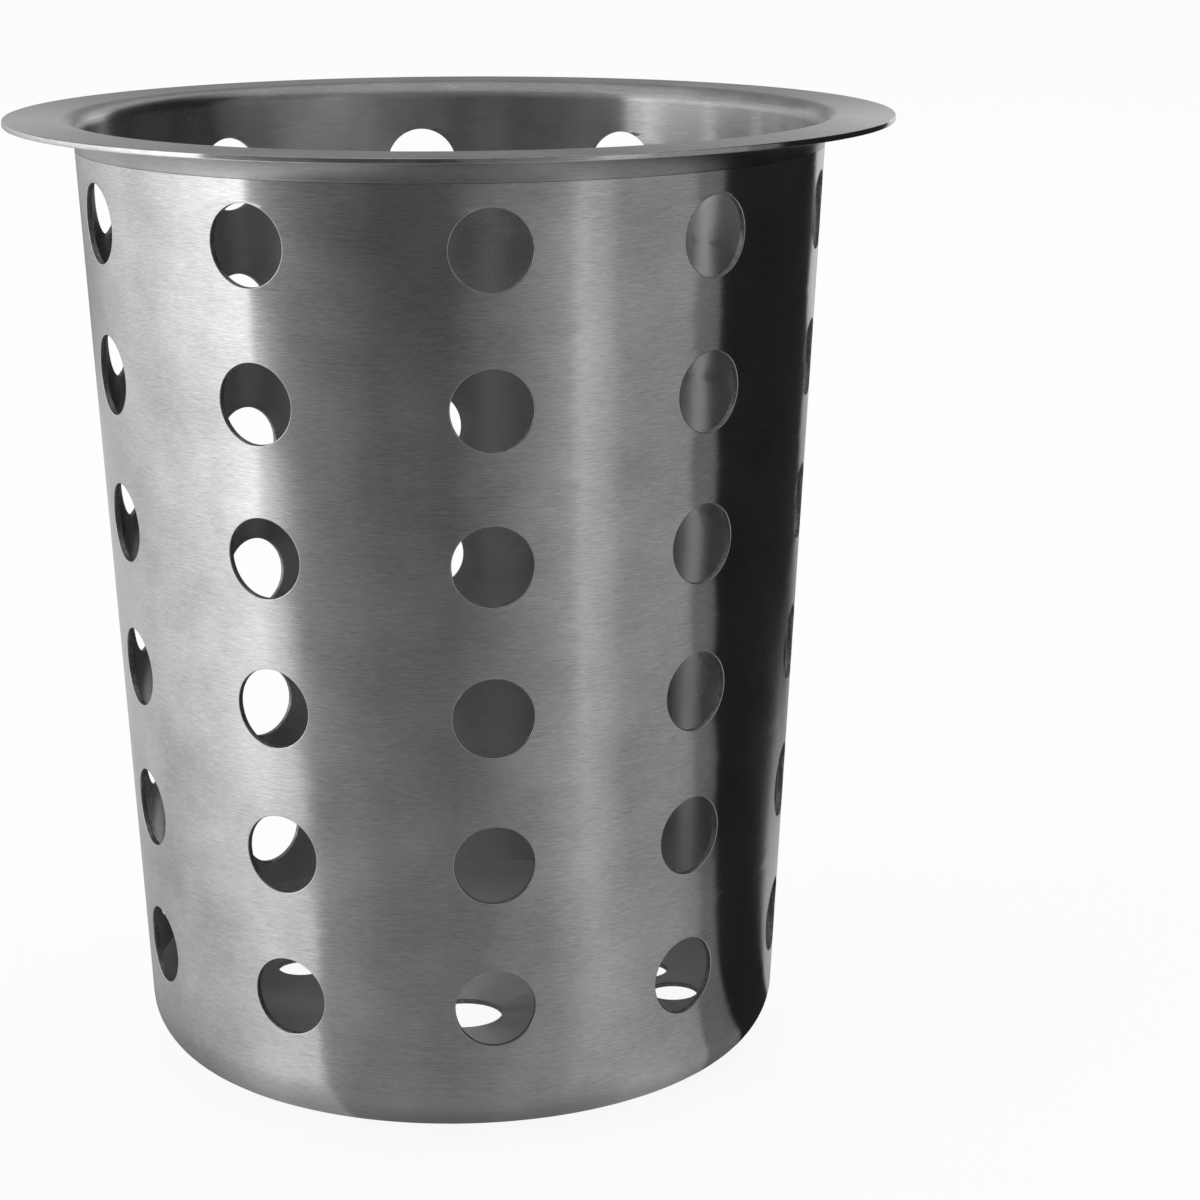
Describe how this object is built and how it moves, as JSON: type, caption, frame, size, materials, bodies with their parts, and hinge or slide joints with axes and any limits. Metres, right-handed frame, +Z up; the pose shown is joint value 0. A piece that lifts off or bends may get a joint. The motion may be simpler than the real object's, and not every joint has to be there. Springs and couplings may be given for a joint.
{
  "type": "cutlery caddy",
  "caption": "Round tapered stainless steel caddy for cutlery: open top with a flat flange, walls punched all over with round holes, and a flat base with drain holes.",
  "frame": {"origin": "centre of the base, on the surface that the caddy stands on", "axes": "+Z up along the caddy's axis, front towards -Y, +X to the right seen from the front"},
  "size_m": [0.1256, 0.1256, 0.137],
  "materials": {
    "rim_steel": "satin, fine grain running round the rim",
    "wall_steel": "satin, fine level grain running round the wall",
    "base_steel": "satin, fine grain in rings round the axis",
    "weld_steel": "ground flush and brushed with the sheet"
  },
  "bodies": {
    "root": {"rim_flange": "rim_steel", "perforated_wall": "wall_steel", "base_pan": "base_steel", "rim_weld": "weld_steel", "base_weld": "weld_steel", "side_weld": "weld_steel"}
  },
  "joints": []
}
